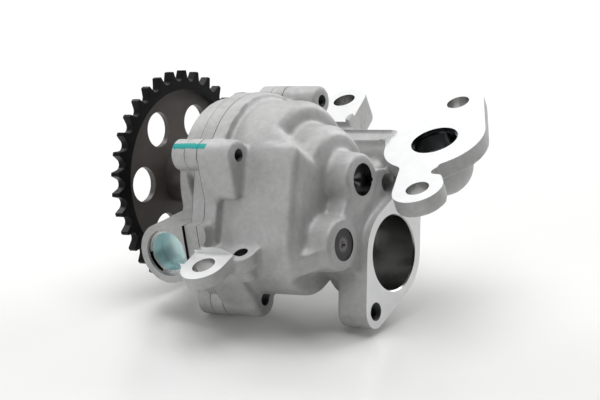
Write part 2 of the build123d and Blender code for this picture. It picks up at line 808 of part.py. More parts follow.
def relief_piston():
    outer_r = relief_bore_r - running_gap
    crown_start = piston_start + piston_length - piston_crown
    piston = relief_rod(outer_r, piston_start, piston_start + piston_length)
    return piston - relief_rod(outer_r - piston_wall, piston_start, crown_start)


def relief_spring():
    mean_r = relief_bore_r - running_gap - piston_wall - spring_side_gap - spring_wire_r
    start = relief_mouth_depth + cup_length + spring_wire_r
    end = piston_start + piston_length - piston_crown - spring_wire_r
    length = end - start
    coil = Helix(length / spring_turns, length, mean_r)
    section = Plane(origin=coil @ 0, z_dir=coil % 0) * RegularPolygon(spring_wire_r, spring_wire_sides)
    wire = sweep(section, path=coil)
    return relief_plane * Pos(0, 0, start) * wire


pieces = {
    "pump_body": pump_body(),
    "port_plate": port_plate(),
    "front_cover": front_cover(),
    "cover_bolts": cover_bolts(),
    "dowel_pins": dowel_pins(),
    "front_bush": front_bush(),
    "gallery_plug": gallery_plug(),
    "relief_cup": relief_cup(),
    "relief_circlip": relief_circlip(),
    "relief_spring": relief_spring(),
    "relief_piston": relief_piston(),
    "drive_shaft": drive_shaft(),
    "drive_gear": gear(drive_y, drive_z, line_angle, line_angle),
    "drive_key": key_block(drive_y, drive_z, line_angle, gear_middle_x, 0),
    "thrust_washer": thrust_washer(),
    "sprocket": sprocket(),
    "sprocket_washer": sprocket_washer(),
    "sprocket_bolt": sprocket_bolt(),
    "idler_shaft": idler_shaft(),
    "driven_gear": gear(idler_y, idler_z, shaft_line_tilt + half_tooth, line_angle),
    "driven_key": key_block(idler_y, idler_z, line_angle, gear_middle_x, 0),
}

for name, shape in pieces.items():
    shape.label = name
    export_step(shape, f"parts/{name}.step")
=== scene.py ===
import math

import bpy
import mathutils
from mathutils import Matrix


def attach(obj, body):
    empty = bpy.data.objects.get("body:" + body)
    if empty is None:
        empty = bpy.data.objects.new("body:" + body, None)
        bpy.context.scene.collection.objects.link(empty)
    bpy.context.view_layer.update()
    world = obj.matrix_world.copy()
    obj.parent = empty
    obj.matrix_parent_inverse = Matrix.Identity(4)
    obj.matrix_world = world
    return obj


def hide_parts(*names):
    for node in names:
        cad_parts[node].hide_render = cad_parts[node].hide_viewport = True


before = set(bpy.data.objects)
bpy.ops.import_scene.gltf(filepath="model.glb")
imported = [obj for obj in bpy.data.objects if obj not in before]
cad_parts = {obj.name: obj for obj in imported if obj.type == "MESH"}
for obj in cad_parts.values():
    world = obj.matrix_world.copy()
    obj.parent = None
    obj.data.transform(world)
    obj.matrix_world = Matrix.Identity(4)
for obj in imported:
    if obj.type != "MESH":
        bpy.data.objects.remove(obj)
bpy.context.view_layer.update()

# Main casting.
# Die-cast aluminium, shot blasted to an even light grey, with soft radii everywhere the tool had none.
# The mounting pads, inlet face, boss ends and bores are then milled bright; it is bolted to the engine block.

# Sizes in millimetres; places across the shafts are (y, z), places on the mounting face are (x, y)
DRIVE = (-35.0, 3.0)
IDLER = (-59.3002, -11.8912)
SHAFT_BORE_R = 6.53
BOSS_END_X = -13.7
SEAM_X = -65.2
PLATE_X = -71.4
GEAR_CHAMBER_R = 17.0
GEAR_CHAMBER_END = -45.05
CROWN_X = -38.7
BLOCK_X = -24.5
CASE_R = 31.5
CASE_TURN = math.radians(31.5)

# Screws and dowels of the joint
BOSSES = (
    (-59.987, 29.3312),
    (0.3072, 18.3518),
    (-7.4224, -20.1404),
    (-41.0776, -31.468),
    (-74.6472, -29.4224),
)
BOLT_R = 3.0
BOLT_HOLE_END = -49.1
BOLT_THREAD_R = 2.55
BOLT_THREAD_START = -56.0
DOWEL_R = 3.0
DOWEL_DEPTH = 4.5

# Holes in the mounting face
MOUNT_R = 4.75
FRONT_LUG = (11.35, -35.8)
REAR_LUG = (-4.6, 30.0)
LUG_PLUG_DEPTH = 7.4
FRONT_TAB = (-55.5, -94.1)
FRONT_TAB_PLUG_DEPTH = 5.9
REAR_TAB = (-63.0, 32.05)
REAR_TAB_PLUG_DEPTH = 12.4
LEDGE_HOLE = (-45.4, -82.4)
LEDGE_HOLE_R = 2.9
LEDGE_HOLE_DEPTH = 9.0
LEDGE_TOP = -1.6
LEDGE_PLUG_DEPTH = 14.5
PORT = (0.0, 0.0)
PORT_R = 9.85
PORT_SEAT = -2.2
THROAT_R = 9.2
THROAT_END = -10.0
PORT_PLUG_DEPTH = 9.0

# Inlet
INLET = (-34.3, -32.3)
INLET_X = -11.0
INLET_R = 15.2
INLET_FLOOR_X = -30.0
INLET_CHAMFER = 0.6
SUCTION = (-40.0964, -15.9563)
SUCTION_R = 8.5
SUCTION_DEPTH = 6.0
INLET_BOLT_R = 3.3
INLET_BOLT_DEPTH = 13.0

# Relief valve: its mouth is at VALVE and its bore runs along VALVE_LINE
VALVE = (-82.0, -84.2, -2.3)
VALVE_TILT = math.radians(16.0)
VALVE_LINE = (0.0, math.cos(VALVE_TILT), -math.sin(VALVE_TILT))
VALVE_LEVEL = sum(start * along for start, along in zip(VALVE, VALVE_LINE))
VALVE_OUTWARD = tuple(-along for along in VALVE_LINE)
PAD_SINK = 1.0


def mm(*values):
    """A place or a step given in millimetres, in Blender's metres."""
    return mathutils.Vector(values) * 0.001


def beside(centre, distance, degrees):
    """Place across the shafts at a distance from a centre, in a direction turned from Y towards Z."""
    turn = math.radians(degrees)
    return (centre[0] + distance * math.cos(turn), centre[1] + distance * math.sin(turn))


def directions(centre, tilt):
    """Frame round an X axis through a centre, for tools that lie tilted."""
    return mathutils.Matrix.Translation(mm(0.0, *centre)) @ mathutils.Matrix.Rotation(tilt, 4, "X")


DOWELS = (beside(DRIVE, 31.5, 62.0), beside(DRIVE, 25.5, -68.0))
INLET_BOLTS = (beside(INLET, 26.5, 209.2), beside(INLET, 26.5, 29.2))
VALVE_FRAME = directions(VALVE[1:], -VALVE_TILT)
CASE_FRAME = directions(DRIVE, CASE_TURN)


def rod(start, end, radius, finish=None, tip=None, vertices=96):
    """Round tool between two points in millimetres, tapered when it has a tip radius."""
    start, end = mm(*start), mm(*end)
    bpy.ops.object.select_all(action="DESELECT")
    bpy.ops.mesh.primitive_cone_add(
        vertices=vertices,
        radius1=radius * 0.001,
        radius2=(radius if tip is None else tip) * 0.001,
        depth=(end - start).length,
        location=(start + end) / 2,
        rotation=(end - start).to_track_quat("Z", "Y").to_euler(),
    )
    bpy.ops.object.transform_apply(location=True, rotation=True, scale=True)
    tool = bpy.context.object
    if finish:
        tool.data.materials.append(finish)
    return tool


def shaftwise(start_x, end_x, radius, spots, finish=None):
    """Round tools along the shafts, one at each place across them."""
    return [rod((start_x, *spot), (end_x, *spot), radius, finish) for spot in spots]


def upright(low_z, high_z, radius, spots, finish=None):
    """Round tools square to the mounting face, one at each place on it."""
    return [rod((*spot, low_z), (*spot, high_z), radius, finish) for spot in spots]


def block(low, high, finish=None, tilt=None):
    """Square tool between two corners in millimetres, in the part's own directions or in tilted ones."""
    low, high = mm(*low), mm(*high)
    bpy.ops.object.select_all(action="DESELECT")
    bpy.ops.mesh.primitive_cube_add(size=1.0)
    tool = bpy.context.object
    place = mathutils.Matrix.Translation((low + high) / 2) @ mathutils.Matrix.Diagonal((*(high - low), 1.0))
    tool.matrix_world = tilt @ place if tilt else place
    bpy.ops.object.transform_apply(location=True, rotation=True, scale=True)
    if finish:
        tool.data.materials.append(finish)
    return tool


def join(pieces):
    """Joins the pieces into the first one."""
    bpy.ops.object.select_all(action="DESELECT")
    for piece in pieces:
        piece.select_set(True)
    bpy.context.view_layer.objects.active = pieces[0]
    bpy.ops.object.join()
    return pieces[0]


def apply(piece, kind, **settings):
    """Puts one modifier on a piece and applies it."""
    bpy.ops.object.select_all(action="DESELECT")
    piece.select_set(True)
    bpy.context.view_layer.objects.active = piece
    modifier = piece.modifiers.new("step", kind)
    for name, value in settings.items():
        setattr(modifier, name, value)
    bpy.ops.object.modifier_apply(modifier=modifier.name)


def machine(piece, tools, operation="DIFFERENCE"):
    """Cuts the piece with tools that don't touch each other; the cut faces take the tools' finishes."""
    tool = join(tools)
    apply(piece, "BOOLEAN", operation=operation, solver="MANIFOLD", material_mode="TRANSFER", object=tool)
    bpy.data.objects.remove(tool)


def tap(start_x, spot, radius, turns, pitch, depth, finish):
    """Tool with the ridges of a thread, pointing along X, over a plain end one millimetre long."""
    tool = rod((start_x - 1.0, *spot), (start_x, *spot), radius, finish, vertices=40)
    bpy.ops.object.mode_set(mode="EDIT")
    bpy.ops.mesh.select_mode(type="FACE")
    bpy.ops.mesh.select_all(action="DESELECT")
    bpy.ops.object.mode_set(mode="OBJECT")
    for face in tool.data.polygons:
        face.select = face.normal.x > 0.9
    bpy.ops.object.mode_set(mode="EDIT")
    crest = (radius + depth) / radius
    for half_turn in range(2 * turns):
        bpy.ops.mesh.extrude_region_move(TRANSFORM_OT_translate={"value": mm(pitch / 2, 0.0, 0.0)})
        grow = 1.0 / crest if half_turn % 2 else crest
        bpy.ops.transform.resize(value=(1.0, grow, grow), center_override=mm(start_x, *spot))
    bpy.ops.object.mode_set(mode="OBJECT")
    return tool


def merged_copy(node_name, name, finish):
    """A CAD piece's mesh as an object of its own, with its loose triangles joined."""
    bpy.ops.object.select_all(action="DESELECT")
    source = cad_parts[node_name]
    source.select_set(True)
    bpy.context.view_layer.objects.active = source
    bpy.ops.object.duplicate()
    piece = bpy.context.object
    piece.name = name
    piece.data.materials.clear()
    piece.data.materials.append(finish)
    bpy.ops.object.mode_set(mode="EDIT")
    bpy.ops.mesh.select_mode(type="FACE")
    bpy.ops.mesh.select_all(action="SELECT")
    bpy.ops.mesh.remove_doubles(threshold=1e-6)
    bpy.ops.mesh.customdata_custom_splitnormals_clear()
    bpy.ops.object.mode_set(mode="OBJECT")
    return piece


# The casting has stock of ALLOWANCE on the faces that will be milled; a voxel grid and some rounds of
# smoothing then give it the soft radii of a die casting, about two millimetres
ALLOWANCE = 3.0
VOXEL = 0.8
SOFTENING = 12


def rough_casting(node_name, name, milled, added, trims, finish):
    """Casting before machining, with stock on its milled faces, no drilled holes, and soft radii.

    Each milled face is (direction, distance along it in millimetres). Added pieces close the drilled holes
    and give the mould's blends, and trims take away what the mould doesn't have.
    """
    piece = merged_copy(node_name, name, finish)
    bpy.ops.object.mode_set(mode="EDIT")
    for direction, distance in milled:
        normal = mathutils.Vector(direction).normalized()
        bpy.ops.mesh.select_all(action="DESELECT")
        bpy.ops.object.mode_set(mode="OBJECT")
        for face in piece.data.polygons:
            level = face.center.dot(normal) - distance * 0.001
            face.select = face.normal.dot(normal) > 0.999 and abs(level) < 2e-5
        bpy.ops.object.mode_set(mode="EDIT")
        bpy.ops.transform.translate(value=normal * ALLOWANCE * 0.001)
    bpy.ops.object.mode_set(mode="OBJECT")
    join([piece] + added)
    apply(piece, "REMESH", mode="VOXEL", voxel_size=VOXEL * 0.001)
    if trims:
        machine(piece, trims)
        apply(piece, "REMESH", mode="VOXEL", voxel_size=VOXEL * 0.001)
    apply(piece, "SMOOTH", factor=0.5, iterations=SOFTENING)
    return piece


# Faces that meet at less than this are one rounded surface to the eye
ROUNDED_BELOW = math.radians(38)


def finish_piece(piece, body_name, slot_name, *nodes):
    """Shades a piece smooth up to its machined edges and lets it stand for its CAD nodes."""
    bpy.ops.object.select_all(action="DESELECT")
    piece.select_set(True)
    bpy.context.view_layer.objects.active = piece
    bpy.ops.object.shade_smooth_by_angle(angle=ROUNDED_BELOW)
    apply(piece, "WEIGHTED_NORMAL", keep_sharp=True)
    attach(piece, body_name)
    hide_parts(*nodes)


def linear(hex_colour):
    """Turns an sRGB hex colour into the linear values that Blender works in."""
    values = [int(hex_colour[place : place + 2], 16) / 255 for place in (1, 3, 5)]
    return tuple(v / 12.92 if v <= 0.04045 else ((v + 0.055) / 1.055) ** 2.4 for v in values) + (1.0,)


def new_material(name):
    """An empty material whose output waits for a surface."""
    material = bpy.data.materials.new(name)
    material.use_nodes = True
    material.node_tree.nodes.clear()
    return material


def add(owner, kind, inputs=None, **settings):
    """Adds one node; an input is a plain value, a socket, or a node whose first output in use is linked."""
    node = owner.node_tree.nodes.new(kind)
    for name, value in settings.items():
        setattr(node, name, value)
    for name, value in (inputs or {}).items():
        if isinstance(value, bpy.types.Node):
            value = next(socket for socket in value.outputs if socket.enabled)
        if isinstance(value, bpy.types.NodeSocket):
            owner.node_tree.links.new(value, node.inputs[name])
        else:
            node.inputs[name].default_value = value
    return node


def grain(size):
    """Scale of a noise whose marks are this many millimetres across."""
    return 1000.0 / size


def near(material, value, centre, reach, soft):
    """Factor that is one within reach of a place and falls to zero over a soft edge; all in millimetres."""
    away = add(material, "ShaderNodeMath", {0: value, 1: centre * 0.001}, operation="SUBTRACT")
    distance = add(material, "ShaderNodeMath", {0: away}, operation="ABSOLUTE")
    fade = {"Value": distance, "From Min": reach * 0.001, "From Max": (reach + soft) * 0.001,
            "To Min": 1.0, "To Max": 0.0}
    return add(material, "ShaderNodeMapRange", fade, interpolation_type="SMOOTHSTEP")


def finish_surface(material, colour, metallic, roughness, height, strength, depth):
    """Ends a material with its shader, over a bump of some depth in millimetres."""
    relief = {"Height": height, "Strength": strength, "Distance": depth * 0.001}
    bump = add(material, "ShaderNodeBump", relief)
    surface = add(material, "ShaderNodeBsdfPrincipled", {
        "Base Color": colour, "Metallic": metallic, "Roughness": roughness, "Normal": bump})
    add(material, "ShaderNodeOutputMaterial", {"Surface": surface})
    return material


# A strip of teal marking paint, laid along X over the uppermost bolt boss
STRIPE_X = -69.3
STRIPE_HALF_LENGTH = 8.2
STRIPE_Y = -61.7
STRIPE_HALF_WIDTH = 1.0
STRIPE_ABOVE = 31.0
STRIPE_WANDER = 1.6


def blasted_skin():
    """Shot-blasted die casting, which gives the eye an even, matt light grey with faint clouds and grain.

    The joints between the castings are dark lines, and the strip of marking paint has ragged edges.
    """
    skin = new_material("Shot blasted die-cast aluminium")
    where = add(skin, "ShaderNodeTexCoord")
    place = where.outputs["Object"]
    split = add(skin, "ShaderNodeSeparateXYZ", {"Vector": place}).outputs
    # Clouds of about 14 mm, worn spots of 2.4 mm, and shot marks of half a millimetre
    cloud = add(skin, "ShaderNodeTexNoise", {"Vector": place, "Scale": grain(14.3), "Detail": 3.0})
    spots = add(skin, "ShaderNodeTexNoise", {
        "Vector": place, "Scale": grain(2.38), "Detail": 4.0, "Roughness": 0.65})
    shot = add(skin, "ShaderNodeTexNoise", {"Vector": place, "Scale": grain(0.476), "Detail": 2.0})
    both = add(skin, "ShaderNodeMath", {0: cloud, 1: spots}, operation="ADD")
    even = add(skin, "ShaderNodeMapRange", {"Value": both, "From Min": 0.7, "From Max": 1.3})
    greys = {"Factor": even, "A": linear("#A3A3A2"), "B": linear("#BABABA")}
    colour = add(skin, "ShaderNodeMix", greys, data_type="RGBA")
    # Only faces that cross a joint show its line, not the flat faces that lie in the joint
    facing = add(skin, "ShaderNodeSeparateXYZ", {"Vector": where.outputs["Normal"]}).outputs["X"]
    flank = add(skin, "ShaderNodeMath", {0: facing, 1: 0.0, 2: 0.6}, operation="COMPARE")
    for seam in (SEAM_X, PLATE_X):
        line = near(skin, split["X"], seam, 0.06, 0.2)
        joint = add(skin, "ShaderNodeMath", {0: line, 1: flank}, operation="MULTIPLY")
        shadow = {"Factor": joint, "A": colour, "B": linear("#3A3938")}
        colour = add(skin, "ShaderNodeMix", shadow, data_type="RGBA")
    # The brush left ragged ends and thin places, so the strip's edges follow a noise
    ragged = add(skin, "ShaderNodeTexNoise", {"Vector": place, "Scale": grain(1.43), "Detail": 3.0})
    drift = add(skin, "ShaderNodeMath", {0: ragged, 1: STRIPE_WANDER * 0.001}, operation="MULTIPLY")
    along = add(skin, "ShaderNodeMath", {0: split["X"], 1: drift}, operation="ADD")
    side = add(skin, "ShaderNodeMath", {0: split["Y"], 1: drift}, operation="ADD")
    length = near(skin, along, STRIPE_X, STRIPE_HALF_LENGTH, 0.5)
    width = near(skin, side, STRIPE_Y, STRIPE_HALF_WIDTH, 0.4)
    strip = add(skin, "ShaderNodeMath", {0: length, 1: width}, operation="MULTIPLY")
    upper = add(skin, "ShaderNodeMath", {0: split["Z"], 1: STRIPE_ABOVE * 0.001}, operation="GREATER_THAN")
    paint = add(skin, "ShaderNodeMath", {0: strip, 1: upper}, operation="MULTIPLY")
    painted = {"Factor": paint, "A": colour, "B": linear("#119793")}
    colour = add(skin, "ShaderNodeMix", painted, data_type="RGBA")
    low = add(skin, "ShaderNodeMath", {0: spots, 1: 0.6}, operation="MULTIPLY")
    height = add(skin, "ShaderNodeMath", {0: low, 1: shot}, operation="ADD")
    rough = add(skin, "ShaderNodeMapRange", {"Value": spots, "To Min": 0.5, "To Max": 0.62})
    return finish_surface(skin, colour, 0.35, rough, height, 0.25, 0.2)


def cut_finish(name, low, high, metallic, roughness, ridges):
    """Cut aluminium: a haze of 6 mm spots and cutter marks of two thirds of a millimetre."""
    cut = new_material(name)
    place = add(cut, "ShaderNodeTexCoord").outputs["Object"]
    haze = add(cut, "ShaderNodeTexNoise", {"Vector": place, "Scale": grain(6.25), "Detail": 3.0})
    marks = add(cut, "ShaderNodeTexNoise", {"Vector": place, "Scale": grain(0.667), "Detail": 2.0})
    greys = {"Factor": haze, "A": linear(low), "B": linear(high)}
    colour = add(cut, "ShaderNodeMix", greys, data_type="RGBA")
    return finish_surface(cut, colour, metallic, roughness, marks, ridges, 0.05)


# Milled faces are bright and spread the light, bored ones mirror it, and bores, grooves and threads inside
# get darker greys as painted shade
cast_skin = blasted_skin()
bright = cut_finish("Face milled aluminium", "#DCDDDE", "#EDEDED", 0.6, 0.36, 0.04)
bored = cut_finish("Bored aluminium", "#A2A2A1", "#BFBFBE", 1.0, 0.26, 0.06)
shade_darkened_bore = cut_finish("Bored aluminium, darkened as painted shade", "#4E5052", "#7B7D80", 1.0, 0.2, 0.06)
# Threads are darker still: painted shade inside the tapped holes
shade_darkened_thread = cut_finish("Tapped aluminium, darkened as painted shade", "#3E3F40", "#5E5F61", 0.5, 0.5, 0.04)

# Plugs close the drilled holes for the casting; each is wider than its hole and bites into the metal round
# it, as far as the hole's broken edge reaches
MOUNT_PLUG_R = 5.15
LEDGE_PLUG_R = 3.2
PORT_PLUG_R = 10.35
INLET_PLUG_R = 16.3
DRIVE_PLUG_R = 7.33
IDLER_PLUG_R = 7.23
BOLT_PLUG_R = 3.5
DOWEL_PLUG_R = 3.6
INLET_BOLT_PLUG_R = 3.8
plugs = upright(-LUG_PLUG_DEPTH, ALLOWANCE, MOUNT_PLUG_R, [FRONT_LUG, REAR_LUG])
plugs += upright(-FRONT_TAB_PLUG_DEPTH, ALLOWANCE, MOUNT_PLUG_R, [FRONT_TAB])
plugs += upright(-REAR_TAB_PLUG_DEPTH, ALLOWANCE, MOUNT_PLUG_R, [REAR_TAB])
plugs += upright(-LEDGE_PLUG_DEPTH, LEDGE_TOP, LEDGE_PLUG_R, [LEDGE_HOLE])
plugs += upright(-PORT_PLUG_DEPTH, ALLOWANCE, PORT_PLUG_R, [PORT])
plugs += shaftwise(INLET_FLOOR_X - 0.4, INLET_X + ALLOWANCE, INLET_PLUG_R, [INLET])
plugs += shaftwise(GEAR_CHAMBER_END + 0.2, BOSS_END_X, DRIVE_PLUG_R, [DRIVE])
plugs += shaftwise(GEAR_CHAMBER_END + 0.2, BOSS_END_X, IDLER_PLUG_R, [IDLER])
plugs += shaftwise(SEAM_X - ALLOWANCE, BOLT_HOLE_END, BOLT_PLUG_R, BOSSES)
plugs += shaftwise(SEAM_X - ALLOWANCE, SEAM_X + DOWEL_DEPTH, DOWEL_PLUG_R, DOWELS)
plugs += shaftwise(INLET_X - INLET_BOLT_DEPTH + 0.1, INLET_X + ALLOWANCE, INLET_BOLT_PLUG_R, INLET_BOLTS)

# The block runs out into the crown on a ramp, and the drive shaft's case has a lower ring round its foot
RAMP_FOOT = 7.5
RAMP_HEAD = -1.65
RAMP_TURN = math.atan2(RAMP_FOOT - RAMP_HEAD, BLOCK_X - CROWN_X)
RAMP_LOW = 13.0
RAMP_HIGH = 39.0
FOOT_RING_END = -28.6
FOOT_RING_R = 22.2
FOOT_RING_TIP_R = 21.5
foot_of_ramp = mathutils.Matrix.Translation(mm(CROWN_X, RAMP_FOOT, 0.0))
slope = CASE_FRAME @ foot_of_ramp @ mathutils.Matrix.Rotation(-RAMP_TURN, 4, "Z")
ramp = rod((CROWN_X - 5.0, *DRIVE), (BLOCK_X, *DRIVE), CASE_R - 0.2, tip=CASE_R - 3.2)
under_slope = block((-40.0, -40.0, RAMP_LOW - 1.0), (40.0, 0.0, RAMP_HIGH + 1.0), tilt=slope)
machine(ramp, [under_slope], "INTERSECT")
ramp_low = (CROWN_X - 4.5, -0.5, RAMP_LOW)
ramp_high = (BLOCK_X - 0.2, RAMP_FOOT + 0.5, RAMP_HIGH)
machine(ramp, [block(ramp_low, ramp_high, tilt=CASE_FRAME)], "INTERSECT")
foot_ring = rod((CROWN_X - 1.0, *DRIVE), (FOOT_RING_END, *DRIVE), FOOT_RING_R, tip=FOOT_RING_TIP_R)
duct_strip = block((-58.0, -1.4, -0.1), (-21.6, 5.4, 6.0))
tab_groove = block((-54.4, 13.0, -8.6), (-50.0, 36.0, -6.6))
body = rough_casting(
    "pump_body",
    "cast_body",
    [
        ((0, 0, 1), 0.0),
        ((-1, 0, 0), -SEAM_X),
        ((1, 0, 0), INLET_X),
        (VALVE_OUTWARD, -VALVE_LEVEL - PAD_SINK),
    ],
    plugs + [ramp, foot_ring],
    [duct_strip, tab_groove],
    cast_skin,
)

# Face milling, with cutters that stand 6 mm clear of the finished face
CUTTER = 6.0
flange_cutter = block((-22.0, -22.0, 0.0), (25.0, 43.0, CUTTER), bright)
rear_tab_cutter = block((-74.0, 12.0, 0.0), (-50.0, 43.0, CUTTER), bright)
seam_cutter = block((SEAM_X - CUTTER, -94.0, -48.0), (SEAM_X, 7.5, 45.0), bright)
inlet_cutter = block((INLET_X, -68.0, -56.0), (INLET_X + CUTTER, -2.0, -11.5), bright)
machine(body, [flange_cutter, rear_tab_cutter, seam_cutter, inlet_cutter])
front_lug_cutter = block((-5.0, -48.0, 0.0), (25.0, -21.0, CUTTER), bright)
front_tab_cutter = block((-67.5, -106.0, 0.0), (-44.0, -86.0, CUTTER), bright)
machine(body, [front_lug_cutter, front_tab_cutter])
machine(body, [block((SEAM_X - 1.0, -9.0, 3.0), (SEAM_X + 4.0, PAD_SINK, 16.0), cast_skin, VALVE_FRAME)])

# Drilling and boring; every tool starts in the air or in a bore that is there already
DRILL_BOTTOM = -40.0
DRILL_TOP = 7.0
LEDGE_DRILL_TOP = 5.0
SHAFT_DRILL_END = -5.0
THROAT_TOP = -2.0
OVER = 1.0
drills = upright(DRILL_BOTTOM, DRILL_TOP, MOUNT_R, [FRONT_LUG, REAR_LUG, FRONT_TAB, REAR_TAB], bored)
drills += upright(-LEDGE_HOLE_DEPTH, LEDGE_DRILL_TOP, LEDGE_HOLE_R, [LEDGE_HOLE], bored)
drills += upright(PORT_SEAT, DRILL_TOP, PORT_R, [PORT], shade_darkened_bore)
drills += shaftwise(INLET_FLOOR_X, 0.0, INLET_R, [INLET], bored)
drills += shaftwise(GEAR_CHAMBER_END - OVER, SHAFT_DRILL_END, SHAFT_BORE_R, [DRIVE, IDLER], shade_darkened_bore)
drills += shaftwise(SEAM_X - ALLOWANCE, BOLT_THREAD_START + OVER, BOLT_R, BOSSES, shade_darkened_bore)
machine(body, drills)
rim_start, rim_end = (INLET_X + 0.1 - INLET_CHAMFER, *INLET), (INLET_X + 0.1, *INLET)
bores = [rod(rim_start, rim_end, INLET_R, bored, tip=INLET_R + INLET_CHAMFER)]
bores += upright(THROAT_END, THROAT_TOP, THROAT_R, [PORT], shade_darkened_bore)
bores += shaftwise(INLET_FLOOR_X - SUCTION_DEPTH, INLET_FLOOR_X + OVER, SUCTION_R, [SUCTION], shade_darkened_bore)
bores += shaftwise(SEAM_X - OVER, GEAR_CHAMBER_END, GEAR_CHAMBER_R, [DRIVE], shade_darkened_bore)
# M6 and M8 threads: turns, pitch and depth
M6_THREAD = (8, 1.0, 0.45)
M8_THREAD = (11, 1.25, 0.6)
inlet_bolt_end = INLET_X - INLET_BOLT_DEPTH
bores += [tap(BOLT_THREAD_START, spot, BOLT_THREAD_R, *M6_THREAD, shade_darkened_thread) for spot in BOSSES]
bores += [tap(inlet_bolt_end, spot, INLET_BOLT_R, *M8_THREAD, shade_darkened_thread) for spot in INLET_BOLTS]
machine(body, bores)
# The second gear chamber meets the first; a fine oil groove runs along the drive shaft's bore
OIL_GROOVE = beside(DRIVE, 6.4, -32.0)
OIL_GROOVE_R = 0.8
OIL_GROOVE_START = -22.0
second_chamber = shaftwise(SEAM_X - OVER, GEAR_CHAMBER_END, GEAR_CHAMBER_R, [IDLER], shade_darkened_bore)
oil_groove = shaftwise(OIL_GROOVE_START, BOSS_END_X + OVER, OIL_GROOVE_R, [OIL_GROOVE], shade_darkened_bore)
machine(body, second_chamber + oil_groove)
finish_piece(body, "housing", "cast_aluminium", "pump_body")

# Intermediate plate between the body and the cover.
# Cast and blasted like the body, with both faces ground flat; it closes the gear chamber and is doweled on.
plate = merged_copy("port_plate", "cast_plate", cast_skin)
finish_piece(plate, "housing", "cast_aluminium", "port_plate")

# Front cover.
# Cast and blasted like the body; holds the front bush and the relief valve, and five M6 screws pull it on.
VALVE_BORE_R = 9.0
VALVE_BORE_END = 33.5
MOUTH_R = 9.6
MOUTH_DEPTH = 1.4
MOUTH_PLUG_R = 11.0
VALVE_PLUG_R = 9.6
SHAFT_PLUG_R = 7.23
CIRCLIP_GROOVE_R = 10.3
CIRCLIP_GROOVE_END = 2.4
NOSE_X = -96.0
NOSE_SEAT_X = -83.0
BUSH_R = 8.03
HEAD_SEAT_X = -73.8
BOSS_FRONT_X = -77.8
HEAD_POCKET_R = 5.1
BOLT_PASSAGE_R = 3.3
SPOT_FACE_R = 6.5
LAST_SPOT_FACE_R = 7.3
BUSH_PLUG_R = 8.63
HEAD_PLUG_R = 5.5
FEED_HOLE = (-76.4, -52.0)
FEED_HOLE_R = 3.2
FEED_HOLE_TOP = -28.04
FEED_DRILL_BOTTOM = -42.0
FEED_PLUG_R = 3.6
FEED_PLUG_BOTTOM = -32.0
FEED_PLUG_TOP = -26.0


def in_valve(start, end, radius, finish=None):
    """Round tool along the relief valve's bore, between two depths behind its mouth."""
    first = tuple(mouth + start * along for mouth, along in zip(VALVE, VALVE_LINE))
    last = tuple(mouth + end * along for mouth, along in zip(VALVE, VALVE_LINE))
    return rod(first, last, radius, finish)


plugs = [in_valve(-ALLOWANCE, 5.0, MOUTH_PLUG_R), in_valve(4.0, VALVE_BORE_END - 0.1, VALVE_PLUG_R)]
plugs += shaftwise(NOSE_SEAT_X - OVER, PLATE_X + ALLOWANCE, SHAFT_PLUG_R, [DRIVE])
plugs += shaftwise(NOSE_X - ALLOWANCE, NOSE_SEAT_X, BUSH_PLUG_R, [DRIVE])
plugs += shaftwise(BOSS_FRONT_X - ALLOWANCE, PLATE_X + ALLOWANCE, HEAD_PLUG_R, BOSSES)
plugs += shaftwise(PLATE_X - DOWEL_DEPTH, PLATE_X + ALLOWANCE, DOWEL_PLUG_R, DOWELS)
plugs += upright(FEED_PLUG_BOTTOM, FEED_PLUG_TOP, FEED_PLUG_R, [FEED_HOLE])
cover = rough_casting(
    "front_cover",
    "cast_cover",
    [
        ((1, 0, 0), PLATE_X),
        ((-1, 0, 0), -NOSE_X),
        ((-1, 0, 0), -BOSS_FRONT_X),
        (VALVE_OUTWARD, -VALVE_LEVEL),
    ],
    plugs,
    [],
    cast_skin,
)
machine(cover, [block((PLATE_X, -100.0, -48.0), (PLATE_X + CUTTER, 12.0, 45.0), bright)])
nose_cutter = shaftwise(NOSE_X - CUTTER, NOSE_X, 16.0, [DRIVE], bright)
machine(cover, [in_valve(-9.0, 0.0, 22.0, cast_skin)] + nose_cutter)
spot_faces = shaftwise(BOSS_FRONT_X - CUTTER, BOSS_FRONT_X, SPOT_FACE_R, BOSSES[:-1], bright)
spot_faces += shaftwise(BOSS_FRONT_X - CUTTER, BOSS_FRONT_X, LAST_SPOT_FACE_R, BOSSES[-1:], bright)
machine(cover, spot_faces)
pockets = shaftwise(BOSS_FRONT_X - DRILL_TOP, HEAD_SEAT_X, HEAD_POCKET_R, BOSSES, bored)
pockets += upright(FEED_DRILL_BOTTOM, FEED_HOLE_TOP, FEED_HOLE_R, [FEED_HOLE], bored)
machine(cover, pockets)
machine(cover, shaftwise(HEAD_SEAT_X - 0.5, PLATE_X + OVER, BOLT_PASSAGE_R, BOSSES, shade_darkened_bore))
shaft_bore = shaftwise(NOSE_SEAT_X - OVER, PLATE_X + OVER, SHAFT_BORE_R, [DRIVE], shade_darkened_bore)
machine(cover, [in_valve(-OVER, VALVE_BORE_END, VALVE_BORE_R, bored)] + shaft_bore)
bush_seat = shaftwise(NOSE_X - OVER, NOSE_SEAT_X, BUSH_R, [DRIVE], bored)
machine(cover, [in_valve(-OVER, MOUTH_DEPTH, MOUTH_R, bored)] + bush_seat)
machine(cover, [in_valve(MOUTH_DEPTH, CIRCLIP_GROOVE_END, CIRCLIP_GROOVE_R, shade_darkened_bore)])
# The joint beside the mouth shows as a slot, its walls darkened as painted shade
machine(cover, [block((PLATE_X - 0.4, -1.0, -8.0), (PLATE_X + OVER, 3.0, 13.0), shade_darkened_bore, VALVE_FRAME)])
finish_piece(cover, "housing", "cast_aluminium", "front_cover")

# Drive sprocket.
# Fine-blanked and hobbed steel chain wheel, black-oxide finished; the web is thin and dished back
# from the rim and has round windows. It sits on the nose end of the drive shaft.
RIM_INNER_R = 36.18
EDGE_BREAK = 0.3
YZ_ONLY = (0.0, 1.0, 1.0)
